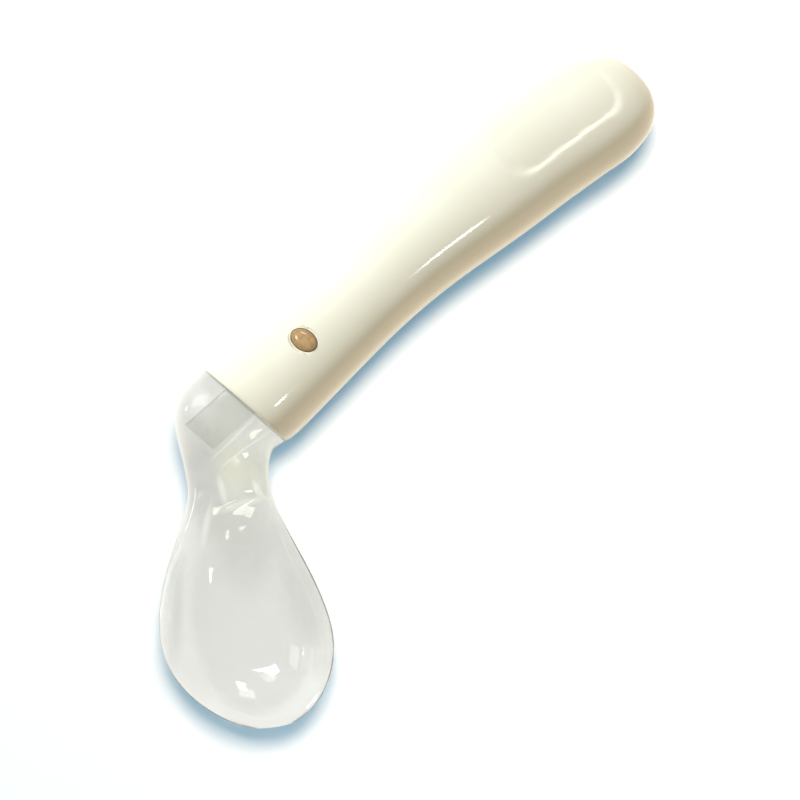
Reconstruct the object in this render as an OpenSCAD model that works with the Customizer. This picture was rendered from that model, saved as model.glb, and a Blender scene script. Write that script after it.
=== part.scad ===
// Baby spoon with a thick hollow grip and a soft clear head set at an angle.
// The handle points along +X, the bowl opens upwards, and the table is z = 0. Sizes are laid out
// from the middle of the seam between handle and head, and the whole is centred at the end.

/* [Handle] */
// Length of the handle from the seam to its far end
handle_l = 85.2; // [78:0.2:96]
// Width of the handle just behind the seam
neck_w = 18.6; // [17:0.1:19.4]
// Thickness of the handle just behind the seam
neck_h = 16.8; // [16:0.1:17.6]
// Width of the handle at its waist
waist_w = 15.5; // [14.2:0.1:17.4]
// Thickness of the handle at its waist
waist_h = 15.2; // [14:0.1:16.6]
// Distance from the seam to the waist
waist_x = 28.5; // [25:0.5:36]
// Width of the grip at its widest
grip_w = 21.1; // [18:0.1:25]
// Thickness of the grip
grip_h = 16.8; // [16:0.1:18.4]
// Distance from the seam to the widest part of the grip
grip_x = 62; // [54:0.5:66]
// Length of the rounded far end
end_l = 19; // [15:0.2:22]
// Sideways bow of the grip
grip_bow = 1.1; // [0:0.1:2]
// Sideways lean of the rounded end, the other way
tip_lean = 3.1; // [0:0.1:5]
// Angle of the seam to a square cut
seam_angle = 8; // [0:1:14]
// How far the rounded front rim of the handle turns in
rim_in = 0.45; // [0.2:0.05:0.9]
// Length of that rounded front rim
rim_l = 3; // [2:0.1:5]
// Depth of the flats on the underside that the spoon lies on
rest_d = 0.3; // [0.15:0.05:0.5]

/* [Shells] */
// Wall of the two handle shells
wall = 2; // [1.6:0.1:2.4]
// Thickness of the handle's front wall
front_t = 2.2; // [1.6:0.1:2.8]
// Thickness of the two ribs that hold the core
rib_t = 1.6; // [1.2:0.1:2]
// Distance of the ribs from the stud, each way
rib_gap = 6; // [5:0.1:7]
// Height of the lip that lines up the two shells
lip_h = 1.2; // [0.8:0.1:2]
// Thickness of that lip
lip_t = 0.9; // [0.7:0.05:1.1]
// Diameter of the locating pins
pin_d = 2.4; // [1.8:0.1:3]
// Length of the locating pins
pin_l = 3.5; // [2:0.1:4.5]
// Wall of the bosses round pins and stud
boss_wall = 1.4; // [1:0.1:2]
// Gap between parts that slide together
fit_gap = 0.1; // [0.05:0.01:0.15]

/* [Thumb and finger rests] */
// Length of the inset thumb pad
pad_l = 21; // [14:0.2:22]
// Width of the inset thumb pad
pad_w = 9.1; // [7:0.1:11]
// Depth of the thumb pad along its deeper side
pad_d = 0.55; // [0.3:0.05:0.8]
// Depth of the thumb pad along its shallow side
pad_shallow_d = 0.15; // [0.1:0.05:0.3]
// Corner radius of the thumb pad
pad_r = 3.2; // [1:0.1:4.4]
// Distance of the pad's middle from the far end
pad_back = 16.4; // [13:0.1:20]
// Angle of the pad to the line of the handle
pad_turn = 4; // [0:0.5:6]
// Radius of the hollow for the finger, on the lower flank
finger_r = 20; // [14:0.5:26]
// Depth of the finger hollow
finger_d = 0.9; // [0.3:0.05:1.1]
// Angle of the finger hollow below the parting line
finger_angle = 27; // [18:1:34]

/* [Core and stud] */
// Width of the stiff core
core_w = 6.6; // [5.6:0.1:7.6]
// Height of the stiff core
core_h = 7; // [6:0.1:8]
// Reach of the core into the soft elbow
core_front_l = 9; // [6:0.1:9.6]
// Reach of the core into the handle
core_back_l = 24; // [23:0.2:27]
// Distance from the seam to the stud
stud_x = 14.1; // [13:0.1:15]
// Length of the stud's oval head, across the handle
stud_l = 4.7; // [4.2:0.05:5.4]
// Width of the stud's oval head, along the handle
stud_w = 3.3; // [2.8:0.05:3.8]
// Angle of the stud's oval to a line straight across the handle
stud_turn = 14; // [0:1:20]
// Height of the stud's dome above its edge
stud_dome = 0.55; // [0.3:0.05:0.8]
// Thickness of the stud's head below its dome
stud_head_t = 1.3; // [1:0.1:1.6]
// Diameter of the stud's shank
shank_d = 2.4; // [1.8:0.1:2.7]
// Depth of the stud's seat below the core
shank_seat = 1.8; // [1:0.1:2.4]
// Width of the sunk lip round the stud
stud_lip_w = 0.4; // [0.2:0.05:0.6]
// Depth of the sunk lip round the stud
stud_lip_d = 0.3; // [0.2:0.05:0.5]

/* [Soft head] */
// Angle through which the head turns away from the line of the handle
head_turn = 56.5; // [50:0.5:62]
// How far the neck's middle lies ahead of the seam
neck_ahead = 10.9; // [10:0.1:12]
// How far the neck's middle lies to the side of the handle's line
neck_aside = 8.7; // [8:0.1:9.6]
// Width of the soft neck
soft_neck_w = 13.4; // [12:0.1:14]
// Thickness of the soft neck
soft_neck_h = 9.4; // [8.4:0.1:10.4]
// Height of the neck's middle above the table
soft_neck_z = 7.4; // [6.8:0.1:8]
// Length of the bowl, from the neck to the tip
bowl_l = 39.8; // [35:0.1:46]
// Width of the bowl
bowl_w = 28.1; // [25:0.1:32]
// Distance from the neck to the widest part of the bowl
belly_l = 24.8; // [20:0.1:27]
// Sideways sway of the bowl's outline
bowl_sway = 4.4; // [0:0.1:7]
// Height of the bowl's rim above the table
rim_z = 9.4; // [8.4:0.1:10.4]
// Rounded height of the bowl's outer rim
rim_round = 1.2; // [0.6:0.1:1.6]
// Width of the bowl's rim
rim_w = 1.8; // [1.4:0.1:2.4]
// Thickness of the bowl's floor
floor_t = 2; // [1.4:0.1:2.6]
// Distance from the neck to where the hollow starts
throat_l = 0.6; // [0:0.1:2]
// Length over which the hollow's floor comes down to its full depth
throat_run = 16; // [12:0.2:20]
// Sideways shift of the deepest line at the throat
throat_shift = 2.2; // [0:0.1:3]
// How far the elbow's outer side runs straight on from the handle
outer_run = 11.2; // [9:0.1:13]
// How far the elbow's outer side leads into the neck
outer_lead = 10.7; // [8:0.1:12]
// How far the elbow's inner side runs straight on from the handle
inner_run = 1.5; // [1:0.1:2.5]
// How far the elbow's inner side leads into the neck
inner_lead = 6.3; // [4:0.1:7]

/* [Hidden] */
$fn = 64;

// Points round one ring, how many of them lie on each side's rim, and rings along each stretch
ring_points = 44;
rim_points = 4;
handle_steps = 16;
end_steps = 9;
cavity_steps = 5;
elbow_steps = 11;
bowl_steps = 15;
tip_steps = 12;

// Overrun of cuts past the faces that they cut
over = 1;

// Roundness of the sections: 2 is an ellipse, larger is boxier
handle_round_share = 2.25;
bowl_round_share = 2.5;
hollow_round_share = 2.7;
rim_round_share = 4;
// Roundness in plan of the handle's far end and of the bowl's tip
end_round_share = 2.65;
tip_round_share = 1.85;
// Least width of the hollow's bed beyond its tip, and how square the rim's tip is
least_open_share = 0.12;
tip_crown_share = 0.3;
// Where the curves of the plan start, as shares of the handle's length
bow_start_share = 0.14;
bow_end_share = 0.56;
lean_start_share = 0.70;
// How early the handle narrows to its waist, and the bowl widens from its neck
waist_ease_share = 0.77;
belly_ease_share = 0.8;
// Where the bowl's sway turns back, as a share of the bowl's length
sway_turn_share = 0.62;
// Width of the hollow where it starts, as a share of its full width there
throat_share = 0.6;
// Where the underside and the top of the neck have flowed into the bowl
keel_share = 0.55;
brow_share = 0.34;
// Where the two locating pins stand, as shares of the handle's length
pin_shares = [0.42, 0.80];
// Where the rounded steps end, just short of the very tip, on the bowl and on the handle
tip_share = 0.992;
end_share = 0.998;

// Height of the parting line, with the flats resting on the table
split_z = grip_h / 2 - rest_d;
rib_xs = [stud_x - rib_gap, stud_x + rib_gap];
pad_x = handle_l - pad_back;
boss_d = pin_d + 2 * boss_wall;
lip_inset = wall - lip_t;
handle_n = handle_round_share;

function ease(t) = let (c = min(max(t, 0), 1)) c * c * (3 - 2 * c);
function blend(a, b, t) = a + (b - a) * ease(t);
function closing(t, n) = pow(max(0, 1 - pow(min(max(t, 0), 1), n)), 1 / n);
function signed_pow(v, p) = sign(v) * pow(abs(v), p);

// Width and thickness of the handle along its length
function waist_t(x) = pow(max(x, 0) / waist_x, waist_ease_share);
function along(x, at_neck, at_waist, at_grip) = x < waist_x
    ? blend(at_neck, at_waist, waist_t(x))
    : blend(at_waist, at_grip, (x - waist_x) / (grip_x - waist_x));
function rim_cut(x) = rim_in * (1 - closing(1 - x / rim_l, 2));
function end_t(x, inset) = (x - (handle_l - end_l)) / (end_l - inset);
function end_close(x, inset) = closing(end_t(x, inset), end_round_share);
function half_w(x, inset) =
    (along(x, neck_w, waist_w, grip_w) / 2 - rim_cut(x) - inset) * end_close(x, inset);
function half_h(x, inset) =
    (along(x, neck_h, waist_h, grip_h) / 2 - rim_cut(x) - inset) * end_close(x, inset);
// Sideways place of the handle's middle line
function middle_y(x) =
    blend(0, grip_bow, (x / handle_l - bow_start_share) / (bow_end_share - bow_start_share))
    - blend(0, tip_lean, (x / handle_l - lean_start_share) / (1 - lean_start_share));
// Sections turn from the angle of the seam to square by the waist
function yaw(x) = seam_angle * (1 - ease(x / waist_x));

// One ring: middle, plan direction, half width, heights above and below, roundness
function ring(mid, dir, half, z, up, down, n) = [
    for (i = [0 : ring_points - 1])
        let (
            a = 360 * i / ring_points,
            side = half * signed_pow(cos(a), 2 / n),
            rise = signed_pow(sin(a), 2 / n)
        )
        [mid[0] + dir[0] * side, mid[1] + dir[1] * side, z + rise * (rise > 0 ? up : down)]
];

// Steps that crowd towards the far end, for rounded ends
function crowded(from, to, steps) = [for (i = [1 : steps]) from + (to - from) * sin(90 * i / steps)];
function even(from, to, steps) = [for (i = [0 : steps]) from + (to - from) * i / steps];

function handle_ring(x, inset) = let (w = yaw(x)) ring(
    [x, middle_y(x)], [-sin(w), cos(w)], half_w(x, inset) / cos(w),
    split_z, half_h(x, inset), half_h(x, inset), handle_n
);
function handle_rings(from, inset) = let (
    end_start = handle_l - end_l,
    tip = end_start + (end_l - inset) * end_share
) [
    for (x = concat(even(from, end_start, handle_steps), crowded(end_start, tip, end_steps)))
        handle_ring(x, inset)
];

// Skin of triangles over a row of rings, with flat ends
module loft(rings) {
    n = len(rings[0]);
    last = len(rings) - 1;
    polyhedron(
        points = [for (r = rings) for (p = r) p],
        faces = concat(
            [[for (i = [0 : n - 1]) i]],
            [for (r = [0 : last - 1]) for (i = [0 : n - 1])
                [r * n + i, (r + 1) * n + i, (r + 1) * n + (i + 1) % n]],
            [for (r = [0 : last - 1]) for (i = [0 : n - 1])
                [r * n + i, (r + 1) * n + (i + 1) % n, r * n + (i + 1) % n]],
            [[for (i = [n - 1 : -1 : 0]) last * n + i]]
        )
    );
}

// Plan outline of the handle at its parting line, brought in by an inset
function outline(from, inset) = let (
    rings = handle_rings(from, inset)
) concat(
    [for (r = rings) [r[0][0], r[0][1]]],
    [for (k = [len(rings) - 1 : -1 : 0])
        [rings[k][ring_points / 2][0], rings[k][ring_points / 2][1]]]
);

// Big block that covers everything on one side of a height
module block(low, high) {
    reach = handle_l + bowl_l + neck_ahead + over;
    translate([-reach, -reach, low]) cube([2 * reach, 2 * reach, high - low]);
}

// Hollows of the shells, parted by the ribs that hold the core
module cavities() {
    stops = [
        [front_t, rib_xs[0] - rib_t / 2],
        [rib_xs[0] + rib_t / 2, rib_xs[1] - rib_t / 2]
    ];
    for (s = stops) loft([for (x = even(s[0], s[1], cavity_steps)) handle_ring(x, wall)]);
    loft(handle_rings(rib_xs[1] + rib_t / 2, wall));
}

// Plan of the core: its front end is cut to the angle of the seam
module core_bar(gap) {
    half = core_w / 2 + gap;
    skew = half * tan(seam_angle);
    translate([0, 0, split_z - core_h / 2 - gap])
        linear_extrude(core_h + 2 * gap)
            polygon([
                [-core_front_l + skew, -half],
                [core_back_l + gap, -half],
                [core_back_l + gap, half],
                [-core_front_l - skew, half]
            ]);
}

// Oval with straight sides, the plan of the stud's head
module oval(grow) {
    r = stud_w / 2 + grow;
    reach = (stud_l - stud_w) / 2;
    translate([0, reach]) circle(r);
    translate([0, -reach]) circle(r);
    square([2 * r, 2 * reach], center = true);
}

stud_top = split_z + half_h(stud_x, 0);
stud_edge = stud_top - stud_lip_d;
shank_low = split_z - core_h / 2 - shank_seat;
collar_d = shank_d + 2 * boss_wall;

// Two bosses stand on the middle line, with a pin on one shell and a socket in the other
module at_pins() for (s = pin_shares) translate([s * handle_l, middle_y(s * handle_l), 0]) children();
function boss_reach(x) = half_h(x, wall / 2);

module finger_scoop() {
    a = finger_angle;
    out = half_w(pad_x, 0) * cos(a);
    low = half_h(pad_x, 0) * sin(a);
    far = finger_r - finger_d;
    translate([
        pad_x,
        middle_y(pad_x) - out - far * cos(a),
        split_z - low - far * sin(a)
    ]) sphere(finger_r);
}

module upper_body() {
    difference() {
        loft(handle_rings(0, 0));
        block(-grip_h, split_z);
        cavities();
    }
    // Pins reach down past the parting line into the lower bosses
    at_pins() translate([0, 0, split_z - pin_l]) cylinder(h = pin_l + over, d = pin_d);
    for (s = pin_shares) translate([s * handle_l, middle_y(s * handle_l), split_z])
        cylinder(h = boss_reach(s * handle_l), d = boss_d);
    // Collar that guides the stud's shank down to the core
    translate([stud_x, 0, split_z + core_h / 2 + fit_gap])
        cylinder(h = boss_reach(stud_x) - core_h / 2 - fit_gap, d = collar_d);
    // Lip inside the parting line, round the far end
    translate([0, 0, split_z - lip_h]) linear_extrude(lip_h + over / 2) difference() {
        polygon(outline(rib_xs[1] + rib_t, lip_inset));
        polygon(outline(rib_xs[1], wall));
    }
}

// Inset pad for the thumb: its bed follows the crown, and tips down from the shallow side
module thumb_pad() {
    end_start = handle_l - end_l;
    hinge = [0, middle_y(pad_x) + pad_w / 2, split_z + half_h(pad_x, 0)];
    difference() {
        translate([pad_x, middle_y(pad_x), split_z])
            rotate(-pad_turn) linear_extrude(grip_h) pad_plan();
        translate(hinge) rotate([asin((pad_d - pad_shallow_d) / pad_w), 0, 0]) translate(-hinge) loft([
            for (x = even(pad_x - pad_l, end_start, cavity_steps)) handle_ring(x, pad_shallow_d),
            for (x = crowded(end_start, end_start + (end_l - pad_shallow_d) * end_share, end_steps))
                handle_ring(x, pad_shallow_d)
        ]);
    }
}

module pad_plan() {
    dx = pad_l / 2 - pad_r;
    dy = pad_w / 2 - pad_r;
    for (x = [-dx, dx], y = [-dy, dy]) translate([x, y]) circle(pad_r);
    square([pad_l, 2 * dy], center = true);
    square([2 * dx, pad_w], center = true);
}

module handle_upper_shell() {
    color("ivory") difference() {
        upper_body();
        core_bar(fit_gap);
        thumb_pad();
        finger_scoop();
        // Oval window for the stud, with its sunk lip and the bore of the shank
        translate([stud_x, 0, stud_edge - stud_head_t - fit_gap])
            rotate(stud_turn) linear_extrude(grip_h) oval(fit_gap);
        translate([stud_x, 0, stud_edge]) rotate(stud_turn) linear_extrude(grip_h) oval(stud_lip_w);
        translate([stud_x, 0, split_z]) cylinder(h = grip_h, d = shank_d + 2 * fit_gap);
    }
}

module lower_body() {
    difference() {
        loft(handle_rings(0, 0));
        block(split_z, split_z + 2 * grip_h);
        cavities();
    }
    for (s = pin_shares)
        translate([s * handle_l, middle_y(s * handle_l), split_z - boss_reach(s * handle_l)])
            cylinder(h = boss_reach(s * handle_l), d = boss_d);
    // Boss under the core that takes the end of the stud
    translate([stud_x, 0, split_z - boss_reach(stud_x)])
        cylinder(h = boss_reach(stud_x) - core_h / 2 - fit_gap, d = collar_d);
}

module handle_lower_shell() {
    color("ivory") difference() {
        lower_body();
        core_bar(fit_gap);
        finger_scoop();
        // Rebate for the lip of the upper shell
        translate([0, 0, split_z - lip_h - fit_gap])
            linear_extrude(lip_h + fit_gap + over) difference() {
                polygon(outline(rib_xs[1] + rib_t / 2 + fit_gap, lip_inset - fit_gap));
                polygon(outline(rib_xs[1], wall + fit_gap));
            }
        at_pins() translate([0, 0, split_z - pin_l - fit_gap])
            cylinder(h = pin_l + fit_gap + over, d = pin_d + 2 * fit_gap);
        translate([stud_x, 0, shank_low - fit_gap])
            cylinder(h = grip_h, d = shank_d + 2 * fit_gap);
        block(-grip_h, 0);
    }
}

module head_core() {
    color("gainsboro") difference() {
        core_bar(0);
        translate([stud_x, 0, 0]) cylinder(h = 2 * grip_h, d = shank_d + 2 * fit_gap);
    }
}

module lock_stud() {
    dome_r = (pow(stud_l / 2, 2) + pow(stud_dome, 2)) / (2 * stud_dome);
    color("peru") translate([stud_x, 0, 0]) rotate(stud_turn) {
        intersection() {
            translate([0, 0, stud_edge - stud_head_t])
                linear_extrude(stud_head_t + stud_dome) oval(0);
            translate([0, 0, stud_edge + stud_dome - dome_r]) sphere(dome_r, $fn = 4 * $fn);
        }
        translate([0, 0, shank_low])
            cylinder(h = stud_edge - stud_head_t / 2 - shank_low, d = shank_d);
    }
}

// Soft head: directions along and across the bowl, and the middle of the neck
head_dir = [-cos(head_turn), -sin(head_turn)];
head_side = [-sin(head_turn), cos(head_turn)];
neck_mid = [-neck_ahead, -neck_aside];
seam_side = [-sin(seam_angle), cos(seam_angle)];
seam_half = half_w(0, 0) / cos(seam_angle);
half_neck = soft_neck_w / 2;

function bezier(p, t) = pow(1 - t, 3) * p[0] + 3 * pow(1 - t, 2) * t * p[1]
    + 3 * (1 - t) * t * t * p[2] + pow(t, 3) * p[3];
outer_side = [
    seam_half * seam_side,
    seam_half * seam_side - [outer_run, 0],
    neck_mid + half_neck * head_side - outer_lead * head_dir,
    neck_mid + half_neck * head_side
];
inner_side = [
    -seam_half * seam_side,
    -seam_half * seam_side - [inner_run, 0],
    neck_mid - half_neck * head_side - inner_lead * head_dir,
    neck_mid - half_neck * head_side
];

// One section of the head: a rounded underside, and a crown with the bowl's hollow sunk into it.
// The hollow is as deep as deep, open is its half width, and shift its place off the middle.
function crown(u, n) = pow(max(0, 1 - pow(abs(u), n)), 1 / n);
function head_section(mid, dir, half, z, up, down, n_up, n_down, deep, open, shift) = let (
    hollow_half = max(open / half, least_open_share),
    hollow_mid = -shift / half,
    bed = ring_points / 2 - 2 * rim_points
) [
    for (i = [0 : ring_points - 1])
        let (
            a = 360 * i / ring_points,
            top = i <= ring_points / 2,
            left = i < ring_points / 4,
            k = min(i, ring_points / 2 - i) / rim_points,
            edge = left ? 1 : -1,
            brink = hollow_mid + edge * hollow_half,
            b = 180 * (i - rim_points) / bed,
            u = !top ? signed_pow(cos(a), 2 / n_down)
                : k < 1 ? edge + (brink - edge) * k * k
                : hollow_mid + hollow_half * signed_pow(cos(b), 2 / hollow_round_share),
            sink = crown((u - hollow_mid) / hollow_half, hollow_round_share),
            rise = top ? up * crown(u, n_up) - deep * sink : -down * pow(-sin(a), 2 / n_down)
        )
        [mid[0] + dir[0] * half * u, mid[1] + dir[1] * half * u, z + rise]
];

// The elbow's sections fan round from the seam to the neck
function elbow_section(t) = let (
    a = bezier(outer_side, t),
    b = bezier(inner_side, t),
    half = norm(a - b) / 2,
    up = blend(half_h(0, 0), soft_neck_h / 2, t)
) head_section(
    (a + b) / 2, (a - b) / norm(a - b), half, blend(split_z, soft_neck_z, t),
    up, up, handle_n, handle_n, 0, (half - rim_w) * throat_share, throat_shift
);

// Outline and heights of the bowl, at a distance s from the neck
function bowl_close(s, inset) =
    closing((s - belly_l) / (bowl_l - belly_l - inset), tip_round_share);
function bowl_half(s, inset) = bowl_close(s, inset)
    * (blend(half_neck, bowl_w / 2, pow(max(s, 0) / belly_l, belly_ease_share)) - inset);
function bowl_mid(s) = let (t = s / bowl_l)
    neck_mid + head_dir * s + head_side * bowl_sway * t * (1 - t / sway_turn_share);
function brow(s, at_neck, at_bowl) = blend(at_neck, at_bowl, s / (brow_share * bowl_l));
function edge_z(s) = brow(s, soft_neck_z, rim_z - rim_round);
function crown_up(s) = brow(s, soft_neck_h / 2, rim_round) * pow(bowl_close(s, 0), tip_crown_share);
function keel_z(s) = blend(soft_neck_z - soft_neck_h / 2, -rest_d, s / (keel_share * bowl_l));
// The hollow's floor comes down from the top of the neck, and closes inside the rim at the tip
function into_bowl(s) = (s - throat_l) / throat_run;
function hollow_deep(s) =
    (edge_z(s) + crown_up(s) - keel_z(s) - floor_t) * ease(into_bowl(s)) * bowl_close(s, rim_w);
function bowl_section(s) = head_section(
    bowl_mid(s), head_side, bowl_half(s, 0), edge_z(s), crown_up(s),
    (edge_z(s) - keel_z(s)) * bowl_close(s, 0),
    brow(s, handle_n, rim_round_share), brow(s, handle_n, bowl_round_share),
    hollow_deep(s), bowl_half(s, rim_w) * blend(throat_share, 1, into_bowl(s)),
    blend(throat_shift, 0, into_bowl(s))
);
bowl_tip = belly_l + (bowl_l - belly_l) * tip_share;
// From the seam to the tip
head_sections = [
    for (t = even(0, 1, elbow_steps)) elbow_section(t),
    for (s = even(belly_l / bowl_steps, belly_l, bowl_steps - 1)) bowl_section(s),
    for (s = crowded(belly_l, bowl_tip, tip_steps)) bowl_section(s)
];

module bowl_head() {
    color("whitesmoke", 0.6) difference() {
        loft([for (k = [len(head_sections) - 1 : -1 : 0]) head_sections[k]]);
        core_bar(0);
        block(-grip_h, 0);
    }
}

// The origin lies on the table, under the middle of the whole spoon
plan_points = [for (r = concat(handle_rings(0, 0), head_sections)) for (p = r) p];
function mid_range(axis) =
    (min([for (p = plan_points) p[axis]]) + max([for (p = plan_points) p[axis]])) / 2;
module in_place() translate([-mid_range(0), -mid_range(1), 0]) children();

in_place() handle_upper_shell();
in_place() handle_lower_shell();
in_place() head_core();
in_place() bowl_head();
in_place() lock_stud();
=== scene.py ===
import math

import bmesh
import bpy
from mathutils import Matrix, Vector


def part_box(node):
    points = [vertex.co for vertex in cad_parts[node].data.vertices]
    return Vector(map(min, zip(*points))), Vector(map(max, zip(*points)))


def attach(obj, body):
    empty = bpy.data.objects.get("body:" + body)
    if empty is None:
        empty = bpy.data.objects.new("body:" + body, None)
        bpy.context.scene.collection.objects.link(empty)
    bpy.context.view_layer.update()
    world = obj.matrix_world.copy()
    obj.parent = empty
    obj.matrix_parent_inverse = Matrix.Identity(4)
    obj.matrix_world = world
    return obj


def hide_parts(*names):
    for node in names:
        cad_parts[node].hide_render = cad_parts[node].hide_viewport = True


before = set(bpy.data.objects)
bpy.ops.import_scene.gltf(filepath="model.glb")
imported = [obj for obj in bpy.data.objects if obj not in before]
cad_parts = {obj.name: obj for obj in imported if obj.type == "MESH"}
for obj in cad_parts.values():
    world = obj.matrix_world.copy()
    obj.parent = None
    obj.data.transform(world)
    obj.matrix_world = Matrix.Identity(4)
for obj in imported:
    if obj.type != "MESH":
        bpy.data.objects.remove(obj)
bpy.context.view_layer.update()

# Soft head: elbow, neck and bowl are one moulding of clear silicone, cast round the end of a stiff
# core. It meets the handle in a flat seam. All pieces are laid out here in millimetres from the
# middle of that seam, and go to their place in the spoon when they are done.
MM = 0.001
stud_low, stud_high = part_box("lock_stud")
stud_ahead = 14.1
seam = (stud_low + stud_high) / 2 - Vector((stud_ahead * MM, 0, 0))
seam.z = 0
parting_height = 8.1


def alone(piece):
    """Selects this one piece, to work on it."""
    bpy.ops.object.select_all(action="DESELECT")
    piece.select_set(True)
    bpy.context.view_layer.objects.active = piece


def start_piece(name):
    """The primitive just added becomes the piece of that name."""
    piece = bpy.context.object
    piece.name = piece.data.name = name
    return piece


def edit(piece, kind="VERT"):
    alone(piece)
    bpy.ops.object.mode_set(mode="EDIT")
    bpy.ops.mesh.select_mode(type=kind)


def done():
    bpy.ops.object.mode_set(mode="OBJECT")


def pick(piece, parts, wanted):
    """In edit mode, selects only the points, edges or faces that are wanted, by their place."""
    bpy.ops.mesh.select_all(action="DESELECT")
    mesh = bmesh.from_edit_mesh(piece.data)
    mesh.normal_update()
    for part in getattr(mesh, parts):
        if wanted(part):
            part.select_set(True)
    bmesh.update_edit_mesh(piece.data)


def settle(piece):
    """Applies the piece's own place, turn and size to its mesh."""
    alone(piece)
    bpy.ops.object.transform_apply(location=True, rotation=True, scale=True)


def finish_with(piece, kind, **values):
    """Adds one modifier with these values, and applies it."""
    alone(piece)
    modifier = piece.modifiers.new(kind.lower(), kind)
    for name, value in values.items():
        setattr(modifier, name, value)
    bpy.ops.object.modifier_apply(modifier=modifier.name)


def round_section(sides=24, roundness=0.88):
    """A closed ring across the spoon, 2 wide and 2 high: a square, rounded nearly to a circle."""
    bpy.ops.object.select_all(action="DESELECT")
    bpy.ops.mesh.primitive_plane_add(size=2, rotation=(math.pi / 2, 0, 0))
    ring = start_piece("section")
    settle(ring)
    edit(ring)
    bpy.ops.mesh.select_all(action="SELECT")
    bpy.ops.mesh.delete(type="ONLY_FACE")
    bpy.ops.mesh.select_all(action="SELECT")
    bpy.ops.mesh.subdivide(number_cuts=sides // 4 - 1)
    bpy.ops.transform.tosphere(value=roundness)
    done()
    # Smoothing draws a ring in a little, so it starts that much larger
    drawn_in = (2 + math.cos(math.tau / sides)) / 3
    reach = max(point.co.x for point in ring.data.vertices) * drawn_in
    ring.scale = (1 / reach, 1 / reach, 1 / reach)
    settle(ring)
    return ring


def lay_sections(name, section, stations):
    """Stands a ring at each station, and bridges them into a skin.
    A station is the ring's place in plan, its turn, half width, middle height, rise and drop."""
    rings = []
    for x, y, turn, half, middle, rise, drop in stations:
        alone(section)
        bpy.ops.object.duplicate()
        ring = bpy.context.object
        ring.scale = (half, 1, drop)
        ring.rotation_euler = (0, 0, math.radians(turn))
        ring.location = (x, y, middle)
        settle(ring)
        edit(ring)
        pick(ring, "verts", lambda v: v.co.z > middle)
        bpy.ops.transform.resize(value=(1, 1, rise / drop), center_override=(x, y, middle))
        done()
        rings.append(ring)
    bpy.data.objects.remove(section)
    for ring in rings:
        ring.select_set(True)
    bpy.context.view_layer.objects.active = rings[0]
    bpy.ops.object.join()
    skin = start_piece(name)
    edit(skin, "EDGE")
    bpy.ops.mesh.select_all(action="SELECT")
    bpy.ops.mesh.bridge_edge_loops()
    # Both open ends are closed, and all faces turned outwards
    bpy.ops.mesh.select_all(action="DESELECT")
    bpy.ops.mesh.select_non_manifold()
    bpy.ops.mesh.edge_face_add()
    bpy.ops.mesh.select_all(action="SELECT")
    bpy.ops.mesh.normals_make_consistent(inside=False)
    done()
    return skin


def ease(t):
    t = min(max(t, 0), 1)
    return t * t * (3 - 2 * t)


def blend(a, b, t):
    return a + (b - a) * ease(t)


def closing(t, roundness=2):
    return max(0, 1 - min(max(t, 0), 1) ** roundness) ** (1 / roundness)


# The seam is turned a little from square. From the elbow on, the neck and the bowl run ahead at an angle.
seam_turn, bowl_turn = math.radians(8), math.radians(56.5)
seam_ahead = Vector((math.cos(seam_turn), math.sin(seam_turn), 0))
seam_aside = Vector((-math.sin(seam_turn), math.cos(seam_turn)))
ahead = Vector((-math.cos(bowl_turn), -math.sin(bowl_turn)))
aside = Vector((-math.sin(bowl_turn), math.cos(bowl_turn)))
# Half widths and half heights. The seam's half width is taken along its slant.
seam_half, seam_rise = 8.94, 7.95
neck_half, neck_rise, belly_half = 6.7, 4.7, 14.05
neck, neck_middle = Vector((-10.9, -8.7)), 7.4
bowl_long, belly, bowl_sway = 39.8, 24.8, 4.4
rim_wide, rim_middle, rim_rise = 1.8, 8.2, 1.2
floor_thick, resting_sink = 2, 0.3
# Shares of the bowl's length: where its sway turns back, its rim is level, and its underside rests
sway_turns_at, rim_level_at, rests_at = 0.62, 0.34, 0.55
# How the bowl swells from the neck, and how its tip closes in plan and in height
belly_swell, tip_roundness, tip_crown = 0.8, 1.85, 0.3


def bowl_middle(s):
    t = s / bowl_long
    return neck + ahead * s + aside * bowl_sway * t * (1 - t / sway_turns_at)


def bowl_closing(s, inset=0):
    return closing((s - belly) / (bowl_long - belly - inset), tip_roundness)


def bowl_half(s, inset=0):
    share = (max(s, 0) / belly) ** belly_swell
    return bowl_closing(s, inset) * (blend(neck_half, belly_half, share) - inset)


def bowl_heights(s):
    """Middle of the rim's rounding, its rise above that, and the underside, at a distance s from the neck."""
    t = s / (rim_level_at * bowl_long)
    middle = blend(neck_middle, rim_middle, t)
    rise = blend(neck_rise, rim_rise, t) * bowl_closing(s) ** tip_crown
    under = blend(neck_middle - neck_rise, -resting_sink, s / (rests_at * bowl_long))
    return middle, rise, under


def elbow_edge(side, run, lead):
    """One side of the elbow in plan, as the four points of a curve: it leaves the seam straight, over
    the run, and comes into the neck's side over the lead."""
    start = seam_aside * seam_half * side
    end = neck + aside * neck_half * side
    return start, start + Vector((-run, 0)), end - ahead * lead, end


def on_curve(points, t):
    a, b, c, d = points
    return a * (1 - t) ** 3 + b * 3 * (1 - t) ** 2 * t + c * 3 * (1 - t) * t ** 2 + d * t ** 3


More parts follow.
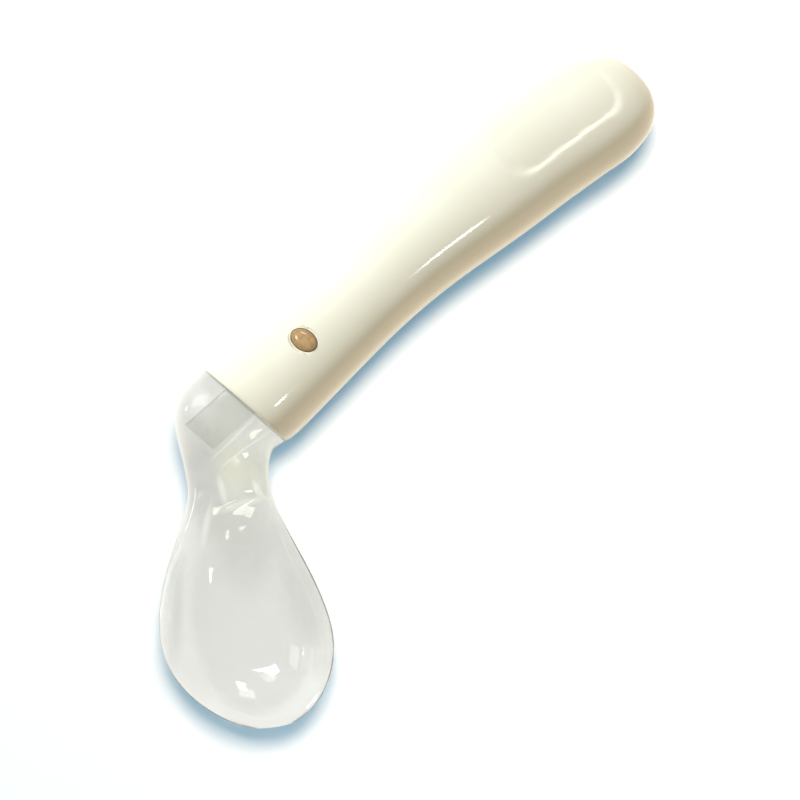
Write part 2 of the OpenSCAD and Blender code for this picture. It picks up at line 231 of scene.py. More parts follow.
# The elbow's sections fan round from the seam to the neck. The first is the handle's own front end, so
# that the two faces meet exactly.
outer_curve = elbow_edge(1, run=11.2, lead=10.7)
inner_curve = elbow_edge(-1, run=1.5, lead=6.3)
elbow_steps = 10
seam_angle = 90 + math.degrees(seam_turn)
head_stations = [(0, 0, seam_angle, seam_half, parting_height, seam_rise, seam_rise)]
for step in range(1, elbow_steps):
    t = step / elbow_steps
    outer, inner = on_curve(outer_curve, t), on_curve(inner_curve, t)
    turn = math.degrees(math.atan2(outer.y - inner.y, outer.x - inner.x))
    x, y = (outer + inner) / 2
    middle, rise = blend(parting_height, neck_middle, t), blend(seam_rise, neck_rise, t)
    head_stations.append((x, y, turn, (outer - inner).length / 2, middle, rise, rise))
# The bowl's sections stand closer together where its outline turns
bowl_steps = [0, 2, 4, 6, 8.5, 11, 14, 17, 20, 23, 25, 27.5, 30, 32.2, 34.2, 36, 37.2, 38.2, 39, 39.5]
for s in bowl_steps:
    middle, rise, under = bowl_heights(s)
    x, y = bowl_middle(s)
    drop = (middle - under) * bowl_closing(s)
    head_stations.append((x, y, 90 + math.degrees(bowl_turn), bowl_half(s), middle, rise, drop))


def smooth_from_seam(piece):
    """Smooths a piece all over, but keeps its edge at the seam sharp."""
    edit(piece, "EDGE")
    pick(piece, "edges", lambda e: all(abs(v.co.dot(seam_ahead)) < 0.01 for v in e.verts))
    bpy.ops.transform.edge_crease(value=1)
    done()
    finish_with(piece, "SUBSURF", levels=3, render_levels=3)


head = lay_sections("soft_head", round_section(), head_stations)
smooth_from_seam(head)

# The bowl's hollow is sunk into the smooth crown. It starts a little to the right of the neck's middle,
# and has a flat floor with rounded walls.
hollow_start, hollow_run, hollow_turn_in, hollow_aside, hollow_deepest = 0.6, 12, 5, -2.2, 9
floor_flatness, wall_roundness = 3, 0.75
# A rounded brink runs at a slant over the neck, then turns along the left side, and fades out. Both lines
# are given by a place and a slope from there.
brink_deep, brink_run, brink_shift, brink_bend = 0.9, 1, 0.2, 1
brink_fade_start, brink_fade_run = 6, 6
crossing_at, crossing_off, crossing_slope = 1.6, -5.5, 0.29
side_at, side_off, side_slope = 5, 1.8, 0.17
rim_untouched = 0.6


def inside_brink(s, off):
    """How far a point lies inside the brink, in millimetres."""
    past_neck = s - crossing_at - crossing_slope * (off - crossing_off)
    past_side = side_off + side_slope * (s - side_at) - off
    return (past_neck + past_side - math.hypot(past_neck - past_side, brink_bend)) / 2


def hollow_depth(point):
    away = point.xy - neck
    s = away.dot(ahead)
    if not hollow_start < s < bowl_long - rim_wide:
        return 0
    middle, rise, under = bowl_heights(s)
    if point.z < middle - 0.01:
        return 0
    into = (s - hollow_start) / hollow_run
    off = (point.xy - bowl_middle(s)).dot(aside)
    half = bowl_half(s, rim_wide) * closing(1 - (s - hollow_start) / hollow_turn_in)
    u = abs(off - blend(hollow_aside, 0, into)) / half
    full = middle + rise - under - floor_thick
    deep = full * ease(into) * bowl_closing(s, rim_wide) * max(0, 1 - u ** floor_flatness) ** wall_roundness
    brink = brink_deep * ease(inside_brink(s, off) / brink_run + brink_shift)
    brink *= 1 - ease((s - brink_fade_start) / brink_fade_run)
    brink *= max(0, 1 - (abs(off) / bowl_half(s, rim_untouched)) ** 4)
    return min(deep + brink, max(full, 0))


hollow = head.vertex_groups.new(name="hollow")
for point in head.data.vertices:
    depth = hollow_depth(point.co)
    if depth > 0:
        hollow.add([point.index], depth / hollow_deepest, "REPLACE")
finish_with(head, "DISPLACE", direction="Z", strength=-hollow_deepest, mid_level=0, vertex_group="hollow")
finish_with(head, "SMOOTH", factor=0.5, iterations=6, vertex_group="hollow")


def cut_flat(piece, height, keep_above=True):
    """Cuts a piece off level at a height, and closes the cut."""
    edit(piece)
    bpy.ops.mesh.select_all(action="SELECT")
    bpy.ops.mesh.bisect(
        plane_co=(0, 0, height), plane_no=(0, 0, 1), use_fill=True,
        clear_inner=keep_above, clear_outer=not keep_above,
    )
    done()


def to_place(piece, sharp_over=35):
    """Brings a finished piece from millimetres at the seam to its place in the spoon. Only edges that
    turn by more than that many degrees show as sharp."""
    for group in list(piece.vertex_groups):
        piece.vertex_groups.remove(group)
    piece.scale = (MM, MM, MM)
    piece.location = seam
    settle(piece)
    bpy.ops.object.shade_smooth_by_angle(angle=math.radians(sharp_over))


cut_flat(head, 0)
to_place(head)


def noise(nodes, links, size, detail=2):
    """Noise fixed to the object, with features of about this size in millimetres."""
    place = nodes.new("ShaderNodeTexCoord")
    cloud = nodes.new("ShaderNodeTexNoise")
    cloud.inputs["Scale"].default_value = 1 / (size * MM)
    cloud.inputs["Detail"].default_value = detail
    links.new(place.outputs["Object"], cloud.inputs["Vector"])
    return cloud.outputs["Fac"]


def ramp(nodes, links, source, start, end, low, high):
    """Maps a value between start and end smoothly to a value from low to high."""
    mapped = nodes.new("ShaderNodeMapRange")
    mapped.interpolation_type = "SMOOTHSTEP"
    for name, value in (("From Min", start), ("From Max", end), ("To Min", low), ("To Max", high)):
        mapped.inputs[name].default_value = value
    links.new(source, mapped.inputs["Value"])
    return mapped.outputs["Result"]


def tinted(nodes, links, amount, colour, other):
    """A mix of two colours. The first one may come from other nodes."""
    mix = nodes.new("ShaderNodeMix")
    mix.data_type = "RGBA"
    links.new(amount, mix.inputs[0])
    if isinstance(colour, tuple):
        mix.inputs[6].default_value = (*colour, 1)
    else:
        links.new(colour, mix.inputs[6])
    mix.inputs[7].default_value = (*other, 1)
    return mix.outputs[2]


def moulded_skin(nodes, links, shader, roughness, waviness):
    """A moulded surface: its gloss differs a little from place to place, and it is faintly uneven."""
    links.new(ramp(nodes, links, noise(nodes, links, 6), 0.3, 0.7, *roughness), shader.inputs["Roughness"])
    bump = nodes.new("ShaderNodeBump")
    bump.inputs["Strength"].default_value = waviness
    bump.inputs["Distance"].default_value = 0.1 * MM
    links.new(noise(nodes, links, 2.5), bump.inputs["Height"])
    links.new(bump.outputs["Normal"], shader.inputs["Normal"])
    return bump.outputs["Normal"]


def within(nodes, links, x, y, turn, long, wide, soft):
    """1 inside an upright oval column of the spoon, 0 outside, with a soft edge. Its middle, its turn in
    degrees, its half length and half width, and how soft its edge is, as a share of its size."""
    endless = 1000
    place = nodes.new("ShaderNodeTexCoord")
    column = nodes.new("ShaderNodeMapping")
    column.vector_type = "TEXTURE"
    column.inputs["Location"].default_value = (seam.x + x * MM, seam.y + y * MM, 0)
    column.inputs["Rotation"].default_value = (0, 0, math.radians(turn))
    column.inputs["Scale"].default_value = (long * MM, wide * MM, endless)
    links.new(place.outputs["Object"], column.inputs["Vector"])
    away = nodes.new("ShaderNodeVectorMath")
    away.operation = "LENGTH"
    links.new(column.outputs["Vector"], away.inputs[0])
    return ramp(nodes, links, away.outputs["Value"], 1 - soft, 1 + soft, 1, 0)


def worked_out(nodes, links, operation, a, b):
    """One value worked out from two others, each a number or another node's output."""
    step = nodes.new("ShaderNodeMath")
    step.operation = operation
    for value, socket in ((a, step.inputs[0]), (b, step.inputs[1])):
        if isinstance(value, (int, float)):
            socket.default_value = value
        else:
            links.new(value, socket)
    return step.outputs[0]


def steepness(nodes, links, level, steep):
    """0 where the surface is level, 1 where it is steep, by the upward part of its direction."""
    surface = nodes.new("ShaderNodeNewGeometry")
    parts = nodes.new("ShaderNodeSeparateXYZ")
    links.new(surface.outputs["Normal"], parts.inputs[0])
    return ramp(nodes, links, parts.outputs["Z"], steep, level, 1, 0)


def start_material(name):
    """A new material, with its nodes, its links and its main shader."""
    material = bpy.data.materials.new(name)
    material.use_nodes = True
    nodes, links = material.node_tree.nodes, material.node_tree.links
    return material, nodes, links, nodes["Principled BSDF"]


def let_lamps_through(nodes, links, surface, shade):
    """Finishes a clear material: the lamps shine through it, dimmed to that shade, so its shadow is pale."""
    clear = nodes.new("ShaderNodeBsdfTransparent")
    clear.inputs["Color"].default_value = (*shade, 1)
    ray = nodes.new("ShaderNodeLightPath")
    mixed = nodes.new("ShaderNodeMixShader")
    links.new(ray.outputs["Is Shadow Ray"], mixed.inputs["Fac"])
    links.new(surface, mixed.inputs[1])
    links.new(clear.outputs["BSDF"], mixed.inputs[2])
    links.new(mixed.outputs["Shader"], nodes["Material Output"].inputs["Surface"])


silicone, nodes, links, soft = start_material("clear_silicone")
surface_place = nodes.new("ShaderNodeTexCoord")
surface_parts = nodes.new("ShaderNodeSeparateXYZ")
links.new(surface_place.outputs["Object"], surface_parts.inputs[0])
steep = steepness(nodes, links, 0.45, 0.1)
# Painted light and shade on the clear silicone, zone by zone: grey zones paint the table's shadow seen
# through it, pale ones paint light gathered in the clear walls and a highlight on top of the elbow, and warm
# ones paint the cream handle seen through it. Each zone is an oval in plan, by its middle, turn, half length,
# half width and softness, and has its tone. Later zones lie over earlier ones.
elbow = within(nodes, links, -6, -1, 49, 13, 12, 0.2)
colour = tinted(nodes, links, elbow, (0.9, 0.905, 0.88), (0.8, 0.805, 0.765))
painted_light_zones = {
    "pale tip": ((-29.5, -38.5, -27, 11, 3.5, 0.6), (0.98, 0.985, 0.96)),
    "band on the left slope": ((-29.7, -16.8, 48, 10, 0.8, 0.9), (0.77, 0.775, 0.75)),
    "painted shadow on the floor of the hollow": ((-21.2, -26.4, 54, 16.8, 10.6, 0.14), (0.8, 0.8, 0.775)),
    "right slope": ((-13.3, -29.3, 66, 10, 3, 0.9), (0.71, 0.71, 0.685)),
    "floor near the neck": ((-14.4, -16.4, 54, 7, 5, 0.6), (0.7, 0.7, 0.67)),
    "neck": ((-12.4, -4.4, 49, 8, 3.5, 0.6), (0.62, 0.62, 0.59)),
    "right side of the neck": ((-6.3, -10.2, 49, 3.5, 2.5, 0.7), (0.68, 0.7, 0.61)),
    "painted handle colour beside the core": ((-7.9, -6.6, 49, 3.5, 2.5, 0.6), (0.77, 0.755, 0.64)),
    "painted highlight on top of the elbow": ((-5.2, 4.4, 49, 2, 1.3, 0.9), (1, 1, 0.98)),
}
for oval, tone in painted_light_zones.values():
    colour = tinted(nodes, links, within(nodes, links, *oval), colour, tone)
clouds = ramp(nodes, links, noise(nodes, links, 4), 0.35, 0.75, 0, 0.2)
colour = tinted(nodes, links, clouds, colour, (0.84, 0.84, 0.82))
# The brink where the hollow starts gets a painted highlight, pale in four strokes on the upper side, for the
# light that the clear ridge gathers
brink_highlight_strokes = [
    (-11.3, -12.4, -24, 4.3, 0.5, 0.8), (-11.9, -9.2, 62, 2, 0.5, 0.8),
    (-7.5, -12.8, 78, 1.4, 0.5, 0.8), (-17.3, -11, 30, 2.8, 0.45, 0.8),
]
brink = within(nodes, links, *brink_highlight_strokes[0])
for stroke in brink_highlight_strokes[1:]:
    brink = worked_out(nodes, links, "MAXIMUM", brink, within(nodes, links, *stroke))
on_top = ramp(nodes, links, surface_parts.outputs["Z"], 5 * MM, 7 * MM, 0, 1)
brink = worked_out(nodes, links, "MULTIPLY", brink, on_top)
colour = tinted(nodes, links, brink, colour, (1, 1, 0.94))
# A painted highlight along the core's near edge shows as a pale line, and steep walls get painted light and
# are pale too
core_edge_highlight = within(nodes, links, -4.5, -4.2, 0, 4.2, 0.22, 0.6)
colour = tinted(nodes, links, core_edge_highlight, colour, (1, 1, 0.98))
colour = tinted(nodes, links, steep, colour, (1, 1, 0.95))
# The elbow's outer wall gets painted shade instead, dark up to just before the seam
skin = nodes.new("ShaderNodeNewGeometry")
outwards = nodes.new("ShaderNodeVectorMath")
outwards.operation = "DOT_PRODUCT"
outwards.inputs[1].default_value = (-0.755, 0.656, 0)
links.new(skin.outputs["Normal"], outwards.inputs[0])
outer_wall_shade = worked_out(nodes, links, "MULTIPLY", elbow, steep)
for share in (
    ramp(nodes, links, outwards.outputs["Value"], 0, 0.5, 0, 1),
    ramp(nodes, links, surface_parts.outputs["X"], seam.x - 1.2 * MM, seam.x - 0.4 * MM, 1, 0),
):
    outer_wall_shade = worked_out(nodes, links, "MULTIPLY", outer_wall_shade, share)
colour = tinted(nodes, links, outer_wall_shade, colour, (0.55, 0.56, 0.53))
links.new(colour, soft.inputs["Base Color"])
soft.inputs["Transmission Weight"].default_value = 0.91
soft.inputs["IOR"].default_value = 1.03
soft.inputs["Subsurface Weight"].default_value = 1
soft.inputs["Subsurface Scale"].default_value = 0.012
soft.inputs["Subsurface Radius"].default_value = (1, 1, 1)
# Its gloss is a thin clear skin, weaker on steep walls
waves = moulded_skin(nodes, links, soft, (0.05, 0.07), 0.08)
links.new(waves, soft.inputs["Coat Normal"])
links.new(ramp(nodes, links, steep, 0, 1, 1, 0.15), soft.inputs["Coat Weight"])
soft.inputs["Coat IOR"].default_value = 1.41
soft.inputs["Coat Roughness"].default_value = 0.04
let_lamps_through(nodes, links, soft.outputs["BSDF"], (0.2, 0.2, 0.2))
head.data.materials.append(silicone)
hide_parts("bowl_head")
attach(head, "root")

# Core: a stiff, clear square bar, moulded first. Its front end reaches into the soft elbow, and the
# rest goes back into the handle, where the stud locks it.
core_wide, core_high, core_front, core_back, core_skew = 6.6, 7, -9, 24, 0.46
core_edge_in, core_edge_drop, core_corner = 0.4, 0.17, 0.3
stud_hole, stud_hole_deep = 2.6, 12
bpy.ops.object.select_all(action="DESELECT")
bpy.ops.mesh.primitive_cube_add(
    size=1, location=((core_front + core_back) / 2, 0, parting_height),
    scale=(core_back - core_front, core_wide, core_high),
)
core = start_piece("core")
settle(core)
edit(core)
# The front end is cut to the angle of the seam
for side in (1, -1):
    pick(core, "verts", lambda v: v.co.x < 0 and v.co.y * side > 0)
    bpy.ops.transform.translate(value=(-side * core_skew, 0, 0))


def at_core_edge(point):
    front = core_front - core_skew * point.y / (core_wide / 2)
    return abs(point.y) > core_wide / 2 - 0.01 or point.x > core_back - 0.01 or point.x < front + 0.01


# Its top and underside fall off a little to their edges, and the long corners are rounded
bpy.ops.mesh.select_mode(type="FACE")
for end in (1, -1):
    pick(core, "faces", lambda f: f.normal.z * end > 0.9)
    bpy.ops.mesh.inset(thickness=core_edge_in, depth=0)
    pick(core, "verts", lambda v: (v.co.z - parting_height) * end > 0 and at_core_edge(v.co))
    bpy.ops.transform.translate(value=(0, 0, -end * core_edge_drop))
bpy.ops.mesh.select_mode(type="EDGE")
pick(core, "edges", lambda e: abs(e.verts[0].co.z - e.verts[1].co.z) > 1)
bpy.ops.mesh.bevel(offset=core_corner, segments=2, affect="EDGES")
done()
# The hole for the stud's shank
bpy.ops.object.select_all(action="DESELECT")
bpy.ops.mesh.primitive_cylinder_add(
    vertices=48, radius=stud_hole / 2, depth=stud_hole_deep, location=(stud_ahead, 0, parting_height),
)
cutter = start_piece("cutter")
settle(cutter)
finish_with(core, "BOOLEAN", operation="DIFFERENCE", solver="MANIFOLD", object=cutter)
bpy.data.objects.remove(cutter)
to_place(core)
core_plastic, nodes, links, stiff = start_material("clear_core")
place = nodes.new("ShaderNodeTexCoord")
parts = nodes.new("ShaderNodeSeparateXYZ")
links.new(place.outputs["Object"], parts.inputs[0])
clouds = ramp(nodes, links, noise(nodes, links, 5), 0.3, 0.7, 0, 1)
colour = tinted(nodes, links, clouds, (0.7, 0.7, 0.66), (0.74, 0.74, 0.7))
# Of its long side walls, the near one gets a painted highlight as a pale line and the far one painted shade
# as a dark line
near_wall_highlight = ramp(nodes, links, parts.outputs["Y"], seam.y - 3.1 * MM, seam.y - 2.8 * MM, 1, 0)
far_wall_shade = ramp(nodes, links, parts.outputs["Y"], seam.y + 2.85 * MM, seam.y + 3 * MM, 0, 1)
colour = tinted(nodes, links, near_wall_highlight, colour, (1, 1, 0.98))
colour = tinted(nodes, links, far_wall_shade, colour, (0.6, 0.61, 0.58))
links.new(colour, stiff.inputs["Base Color"])
stiff.inputs["Transmission Weight"].default_value = 0.9
stiff.inputs["IOR"].default_value = 1.001
stiff.inputs["Coat Weight"].default_value = 1
stiff.inputs["Coat Roughness"].default_value = 0.12
moulded_skin(nodes, links, stiff, (0.05, 0.07), 0.05)
# Below its top, the core is clearer, so that its side walls and underside hardly show
clearest = nodes.new("ShaderNodeBsdfTransparent")
walls = nodes.new("ShaderNodeMixShader")
links.new(ramp(nodes, links, parts.outputs["Z"], 10.6 * MM, 11.2 * MM, 0.85, 0), walls.inputs["Fac"])
links.new(stiff.outputs["BSDF"], walls.inputs[1])
links.new(clearest.outputs["BSDF"], walls.inputs[2])
let_lamps_through(nodes, links, walls.outputs["Shader"], (0.85, 0.85, 0.84))
core.data.materials.clear()
core.data.materials.append(core_plastic)
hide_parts("head_core")
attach(core, "root")

# Handle: two shells of glossy cream plastic, moulded apart and welded along the parting line at mid
# height. Both come from one smooth body, so that they match all round.
handle_long, waist_at, grip_at, end_long = 85.2, 28.5, 62, 19
# Half widths and half heights at the front, the waist and the grip. The front edge is rolled in.
rim_in, rim_long = 0.45, 3
handle_widths = (seam_half * math.cos(seam_turn) + rim_in, 7.75, 10.55)
handle_heights = (seam_rise + rim_in, 7.6, 8.4)
waist_swell, end_roundness = 0.77, 2.65
# The grip bows to one side and the end leans to the other, from and to these shares of the length
grip_bow, bow_start, bow_end = 1.1, 0.14, 0.56
tip_lean, lean_start = 3.1, 0.7


def handle_half(x, measures):
    """Half the width or half the height of the handle, at a distance x from the seam."""
    front, waist, grip = measures
    if x < waist_at:
        half = blend(front, waist, (x / waist_at) ** waist_swell)
    else:
        half = blend(waist, grip, (x - waist_at) / (grip_at - waist_at))
    rolled_in = rim_in * (1 - closing(1 - x / rim_long))
    return (half - rolled_in) * closing((x - handle_long + end_long) / end_long, end_roundness)


def handle_middle(x):
    """How far the handle's middle lies aside, at a distance x from the seam."""
    share = x / handle_long
    bow = blend(0, grip_bow, (share - bow_start) / (bow_end - bow_start))
    return bow - blend(0, tip_lean, (share - lean_start) / (1 - lean_start))


# The sections turn from the seam's angle to square at the waist. They stand closer together at both ends.
handle_steps = [
    0, 0.35, 1, 2, 3.4, 6.5, 11, 16.5, 22.5, 29, 36, 43, 50, 57, 63.5, 69, 72, 74.8, 77.3, 79.5, 81.4, 83,
    84.2, 84.87, 85.15,
]
handle_stations = []
for x in handle_steps:
    turned = seam_turn * (1 - ease(x / waist_at))
    half = handle_half(x, handle_widths) / math.cos(turned)
    rise = handle_half(x, handle_heights)
    handle_stations.append((x, handle_middle(x), 90 + math.degrees(turned), half, parting_height, rise, rise))
handle_body = lay_sections("handle_body", round_section(), handle_stations)
smooth_from_seam(handle_body)

# Hollow for the finger on the lower flank, scooped by a large ball
finger_ball, finger_deep = 20, 0.9
finger_down = math.radians(27)
pad_back = 16.4
pad_middle = Vector((handle_long - pad_back, handle_middle(handle_long - pad_back)))
ball_away = finger_ball - finger_deep
ball_aside = handle_half(pad_middle.x, handle_widths) + ball_away
ball_below = handle_half(pad_middle.x, handle_heights) + ball_away
ball = Vector((
    pad_middle.x,
    pad_middle.y - ball_aside * math.cos(finger_down),
    parting_height - ball_below * math.sin(finger_down),
))
scoop = handle_body.vertex_groups.new(name="scoop")
for point in handle_body.data.vertices:
    depth = finger_ball - (point.co - ball).length
    if depth > 0:
        scoop.add([point.index], min(depth, 1), "REPLACE")
finish_with(handle_body, "DISPLACE", direction="NORMAL", strength=-1, mid_level=0, vertex_group="scoop")

cut_flat(handle_body, 0)
alone(handle_body)
bpy.ops.object.duplicate()
lower = start_piece("lower_shell")
cut_flat(lower, parting_height, keep_above=False)
upper = handle_body
upper.name = upper.data.name = "upper_shell"
cut_flat(upper, parting_height)


def soften_parting_line(shell, rounding=0.12):
    """Rounds the outer edge at the parting line by a hair, as a mould leaves it."""
    edit(shell, "EDGE")
    pick(shell, "edges", lambda e: all(abs(v.co.z - parting_height) < 0.001 for v in e.verts)
         and abs(e.calc_face_angle(0)) > 1)
    bpy.ops.mesh.bevel(offset=rounding, segments=2, affect="EDGES")
    done()


# Thumb pad: an inset panel in the upper shell, with a soft step round it. It is deeper along one side.
pad_long, pad_wide, pad_deep, pad_shallow, pad_corner = 21, 9.1, 0.55, 0.12, 3.2
pad_side_step, pad_near_step, pad_end_step, pad_step_inset = 0.6, 0.9, 1.4, 0.15
pad_end_zone, pad_end_zone_run, pad_far_zone = 4, 3, 0.4
pad_turn = math.radians(4)


def pad_depth(point):
    if point.z < parting_height:
        return 0
    off = point.xy - pad_middle
    along = off.x * math.cos(pad_turn) - off.y * math.sin(pad_turn)
    across = off.x * math.sin(pad_turn) + off.y * math.cos(pad_turn)
    beyond_end = abs(along) - pad_long / 2 + pad_corner
    beyond_side = abs(across) - pad_wide / 2 + pad_corner
    outside = math.hypot(max(beyond_end, 0), max(beyond_side, 0)) - pad_corner
    outside += min(max(beyond_end, beyond_side), 0)
    deep = pad_shallow + (pad_deep - pad_shallow) * (0.5 - across / pad_wide)
    # The step is short along the sides and longer at the ends. It rises from a crisp inner edge, and
    # rounds off outwards.
    end_step = pad_end_step if along > 0 else pad_near_step
    step = blend(pad_side_step, end_step, (abs(along) - pad_long / 2 + pad_end_zone) / pad_end_zone_run)
    step = blend(step, pad_end_step, across / pad_wide + pad_far_zone)
    return deep * (1 - min(max((outside + pad_step_inset) / step, 0), 1)) ** 2


pad = upper.vertex_groups.new(name="pad")
for point in upper.data.vertices:
    depth = pad_depth(point.co)
    if depth > 0:
        pad.add([point.index], depth, "REPLACE")
finish_with(upper, "DISPLACE", direction="NORMAL", strength=-1, mid_level=0, vertex_group="pad")
soften_parting_line(upper)
soften_parting_line(lower)

stud_long, stud_wide, stud_edge = 4.7, 3.3, 15.7
stud_turn = math.radians(14)


def oval_block(name, wide, long, low, high):
    """An upright oval block at the stud, turned a little from straight across the handle."""
    bpy.ops.object.select_all(action="DESELECT")
    bpy.ops.mesh.primitive_cylinder_add(
        vertices=64, radius=0.5, depth=high - low, location=(stud_ahead, 0, (low + high) / 2),
        rotation=(0, 0, stud_turn), scale=(wide, long, 1),
    )
    block = start_piece(name)
    settle(block)
    return block


# The stud's window goes right through the shell, and has a sunk, rounded lip round it
lip_wide, lip_rounding, window_gap, window_deep, clear_above = 0.4, 0.16, 0.1, 1.4, 20
for grow, low in ((lip_wide, stud_edge), (window_gap, stud_edge - window_deep)):
    cutter = oval_block("cutter", stud_wide + 2 * grow, stud_long + 2 * grow, low, clear_above)
    finish_with(upper, "BOOLEAN", operation="DIFFERENCE", solver="MANIFOLD", object=cutter)
    bpy.data.objects.remove(cutter)


def on_lip(point):
    turned = Matrix.Rotation(-stud_turn, 2) @ Vector((point.x - stud_ahead, point.y))
    reach = math.hypot(turned.x / (stud_wide / 2 + lip_wide), turned.y / (stud_long / 2 + lip_wide))
    return abs(reach - 1) < 0.02 and point.z > stud_edge + 0.03


edit(upper, "EDGE")
pick(upper, "edges", lambda e: all(on_lip(v.co) for v in e.verts))
bpy.ops.mesh.bevel(offset=lip_rounding, segments=3, affect="EDGES")
done()
to_place(upper)
to_place(lower)

cream, nodes, links, gloss = start_material("cream_plastic")
clouds = ramp(nodes, links, noise(nodes, links, 9), 0.3, 0.7, 0, 1)
colour = tinted(nodes, links, clouds, (0.865, 0.81, 0.64), (0.885, 0.83, 0.665))
links.new(colour, gloss.inputs["Base Color"])
gloss.inputs["Specular IOR Level"].default_value = 0.3
moulded_skin(nodes, links, gloss, (0.045, 0.07), 0.03)
for shell, node in ((upper, "handle_upper_shell"), (lower, "handle_lower_shell")):
    shell.data.materials.clear()
    shell.data.materials.append(cream)
    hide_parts(node)
    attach(shell, "root")

# Stud: a small amber plastic oval with a low dome, moulded in one with a round shank. It is pressed in
# through the handle's window, and the shank goes down through the core and locks it.
head_deep, head_proud = 1.3, 0.02
shank_thick, shank_low, shank_into_head, shank_chamfer = 2.4, 2.8, 0.65, 0.2
stud = oval_block("stud", stud_wide, stud_long, stud_edge - head_deep, stud_edge + head_proud)
# Its top is raised into a dome, in steps that go further in and less far up each time
dome_steps = ((0.06, 0.13), (0.12, 0.13), (0.2, 0.11), (0.3, 0.08), (0.4, 0.05))
edit(stud, "FACE")
pick(stud, "faces", lambda f: f.normal.z > 0.9)
for inward, upward in dome_steps:
    bpy.ops.mesh.inset(thickness=inward, depth=upward)
done()
# The round shank goes down from inside the head, and its end is chamfered
shank_top = stud_edge - shank_into_head
bpy.ops.object.select_all(action="DESELECT")
bpy.ops.mesh.primitive_cylinder_add(
    vertices=48, radius=shank_thick / 2, depth=shank_top - shank_low,
    location=(stud_ahead, 0, (shank_top + shank_low) / 2),
)
shank = start_piece("shank")
settle(shank)
edit(shank, "FACE")
pick(shank, "faces", lambda f: f.normal.z < -0.9)
bpy.ops.mesh.bevel(offset=shank_chamfer, segments=2, affect="EDGES")
done()
finish_with(stud, "BOOLEAN", operation="UNION", solver="MANIFOLD", object=shank)
bpy.data.objects.remove(shank)
to_place(stud)
amber, nodes, links, gloss = start_material("amber_plastic")
clouds = ramp(nodes, links, noise(nodes, links, 0.8), 0.35, 0.65, 0, 1)
colour = tinted(nodes, links, clouds, (0.34, 0.197, 0.07), (0.44, 0.27, 0.11))
# Its steep rim is a little darker: painted shade round the dome's edge
colour = tinted(nodes, links, steepness(nodes, links, 0.96, 0.8), colour, (0.36, 0.22, 0.09))
links.new(colour, gloss.inputs["Base Color"])
moulded_skin(nodes, links, gloss, (0.06, 0.12), 0.12)
stud.data.materials.clear()
stud.data.materials.append(amber)
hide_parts("lock_stud")
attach(stud, "root")

# Floor: a plain pale table, a hair under the spoon. The lamp overhead and a cool glow of its own make it
# white together, so that the spoon's shadow on it is soft and blue.
floor_wide, floor_gap = 4, 0.0001
bpy.ops.object.select_all(action="DESELECT")
bpy.ops.mesh.primitive_plane_add(size=floor_wide, location=(0, 0, -floor_gap))
floor = start_piece("floor")
settle(floor)


def seen_directly(nodes, links):
    """1 for what the camera sees straight, or mirrored or bent by the spoon, and 0 for light that a matt
    surface has scattered."""
    ray = nodes.new("ShaderNodeLightPath")
    seen = ray.outputs["Is Camera Ray"]
    for kind in ("Is Glossy Ray", "Is Transmission Ray"):
        seen = worked_out(nodes, links, "MAXIMUM", seen, ray.outputs[kind])
    unscattered = worked_out(nodes, links, "LESS_THAN", ray.outputs["Diffuse Depth"], 0.5)
    return worked_out(nodes, links, "MULTIPLY", seen, unscattered)


paper = bpy.data.materials.new("pale_floor")
paper.use_nodes = True
nodes, links = paper.node_tree.nodes, paper.node_tree.links
nodes.clear()
output = nodes.new("ShaderNodeOutputMaterial")
lit = nodes.new("ShaderNodeBsdfDiffuse")
lit.inputs["Color"].default_value = (0.6, 0.6, 0.56, 1)
# The glow turns white further out, where the lamp no longer reaches
floor_place = nodes.new("ShaderNodeTexCoord")
far_out = nodes.new("ShaderNodeVectorMath")
far_out.operation = "LENGTH"
links.new(floor_place.outputs["Object"], far_out.inputs[0])
ray = nodes.new("ShaderNodeLightPath")
far = ramp(nodes, links, far_out.outputs["Value"], 0.1, 0.3, 0, 1)
glow_colour = tinted(nodes, links, far, (0.03, 0.2, 0.35), (1, 1, 1))
glow_colour = tinted(nodes, links, ray.outputs["Is Glossy Ray"], glow_colour, (0.58, 0.65, 0.69))
glow = nodes.new("ShaderNodeEmission")
links.new(glow_colour, glow.inputs["Color"])
links.new(seen_directly(nodes, links), glow.inputs["Strength"])
lit_and_glowing = nodes.new("ShaderNodeAddShader")
links.new(lit.outputs["BSDF"], lit_and_glowing.inputs[0])
links.new(glow.outputs["Emission"], lit_and_glowing.inputs[1])
# Through the clear head it is seen as one even tone
through = nodes.new("ShaderNodeEmission")
through.inputs["Color"].default_value = (0.93, 0.94, 0.91, 1)
surface = nodes.new("ShaderNodeMixShader")
links.new(ray.outputs["Is Transmission Ray"], surface.inputs["Fac"])
links.new(lit_and_glowing.outputs["Shader"], surface.inputs[1])
links.new(through.outputs["Emission"], surface.inputs[2])
links.new(surface.outputs["Shader"], output.inputs["Surface"])
floor.data.materials.append(paper)

# Studio: white all round, with one broad lamp on the spoon's far side, a few small ones for the glints on
# its surfaces, and one almost overhead for the shadow
world = bpy.context.scene.world or bpy.data.worlds.new("studio")
bpy.context.scene.world = world
world.use_nodes = True
nodes, links = world.node_tree.nodes, world.node_tree.links
nodes.clear()
output = nodes.new("ShaderNodeOutputWorld")
white = nodes.new("ShaderNodeBackground")
white.inputs["Color"].default_value = (1, 1, 1, 1)
white.inputs["Strength"].default_value = 1
# The light that it gives is dim and warm
dim = nodes.new("ShaderNodeBackground")
dim.inputs["Color"].default_value = (1, 0.92, 0.72, 1)
dim.inputs["Strength"].default_value = 0.28
choose = nodes.new("ShaderNodeMixShader")
links.new(seen_directly(nodes, links), choose.inputs["Fac"])
links.new(dim.outputs["Background"], choose.inputs[1])
links.new(white.outputs["Background"], choose.inputs[2])
links.new(choose.outputs["Shader"], output.inputs["Surface"])


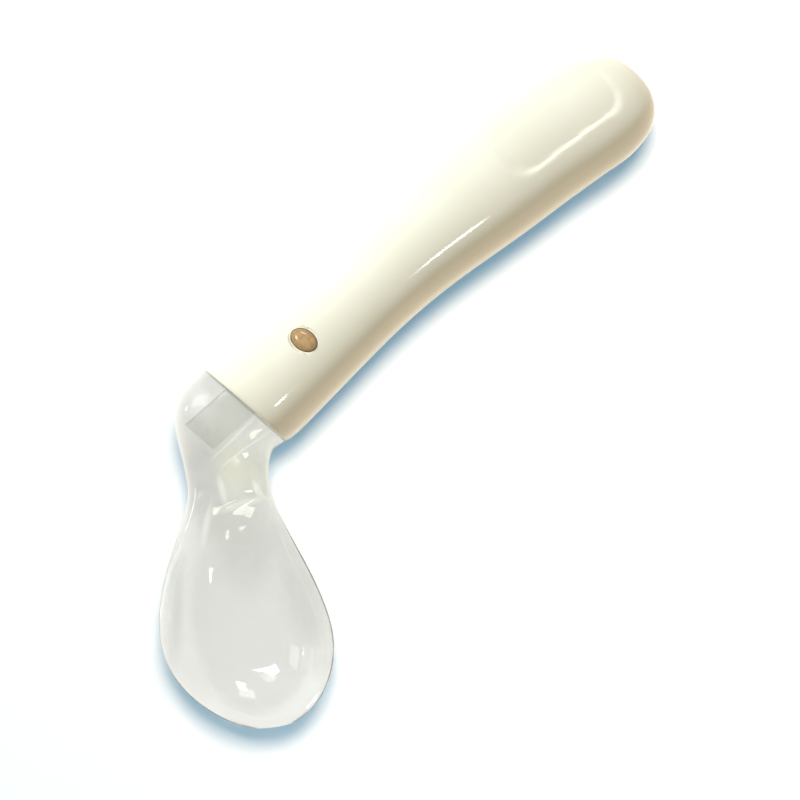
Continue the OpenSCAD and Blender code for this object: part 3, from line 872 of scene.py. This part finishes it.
def area_lamp(name, place, size, power, lit_pieces, mirrored=True):
    """A square soft lamp at that place that looks at the middle of the spoon, and lights only these
    pieces. A lamp that isn't mirrored leaves no glint."""
    place = Vector(place)
    bpy.ops.object.light_add(type="AREA", location=place)
    lamp = bpy.context.object
    lamp.name = name
    lamp.rotation_euler = place.to_track_quat("Z", "Y").to_euler()
    lamp.data.size = size
    lamp.data.energy = power
    lamp.visible_glossy = lamp.visible_transmission = mirrored
    lit = bpy.data.collections.new(name)
    for piece in lit_pieces:
        lit.objects.link(piece)
    lamp.light_linking.receiver_collection = lit
    return lamp


spoon = (head, core, upper, lower, stud)
broad = area_lamp("broad_lamp", (-0.042, 0.422, 0.422), 0.4, 4.9, spoon, mirrored=False)
broad.data.color = (0.81, 0.9, 1)
area_lamp("end_lamp", (0.55, -0.05, 0.15), 0.3, 0.35, (upper, lower), mirrored=False)
area_lamp("flank_lamp", (0.03, -0.347, 0.495), 0.03, 0.17, (core, upper, lower, stud))
area_lamp("head_lamp", (0.02, -0.36, 0.48), 0.09, 0.64, (head,))
area_lamp("tip_lamp_1", (0.259, 0.345, 0.365), 0.1, 0.7, (head,))
area_lamp("tip_lamp_2", (0.033, 0.338, 0.478), 0.09, 0.6, (head,))
ridge = area_lamp("ridge_lamp", (-0.33, -0.45, 0.135), 0.11, 0.33, (head,))
ridge.data.color = (1, 0.97, 0.8)
area_lamp("elbow_lamp", (-0.285, 0.385, 0.325), 0.2, 0.36, (head,))
area_lamp("stud_lamp_1", (-0.11, 0.2, 0.535), 0.08, 0.32, (stud,))
area_lamp("stud_lamp_2", (0.2, 0.24, 0.49), 0.1, 0.32, (stud,))
area_lamp("side_lamp", (-0.4, 0.385, 0.12), 0.06, 0.15, (head,))
overhead = area_lamp("shadow_lamp", (0.135, 0.072, 0.58), 0.24, 5.8, (floor,))
overhead.data.color = (1, 0.85, 0.75)

# Camera: a long lens almost straight above. It leans a little to the front and to the head's side, and is
# turned so that the handle runs up to the right.
lens_away, lens_mm, sensor_mm = 0.3658, 100, 36
handle_in_picture = math.radians(41.1)
lean_aside, lean_back = math.radians(3), math.radians(10)
aim_right, aim_up = 0.02556, 0.0008
back = Vector((-math.sin(lean_aside), -math.sin(lean_back), 1)).normalized()
along_handle = (Vector((1, 0, 0)) - back * back.x).normalized()
across_handle = back.cross(along_handle)
right = along_handle * math.cos(handle_in_picture) - across_handle * math.sin(handle_in_picture)
up = back.cross(right)
seam_middle = seam + Vector((0, 0, parting_height * MM))
target = seam_middle + right * aim_right + up * aim_up
bpy.ops.object.camera_add()
camera = bpy.context.object
camera_turn = Matrix((right, up, back)).transposed().to_4x4()
camera.matrix_world = Matrix.Translation(target + back * lens_away) @ camera_turn
camera.data.lens = lens_mm
camera.data.sensor_width = sensor_mm
camera.data.clip_start = 0.01
camera.data.dof.use_dof = False
bpy.context.scene.camera = camera
bpy.context.scene.view_settings.view_transform = "Standard"
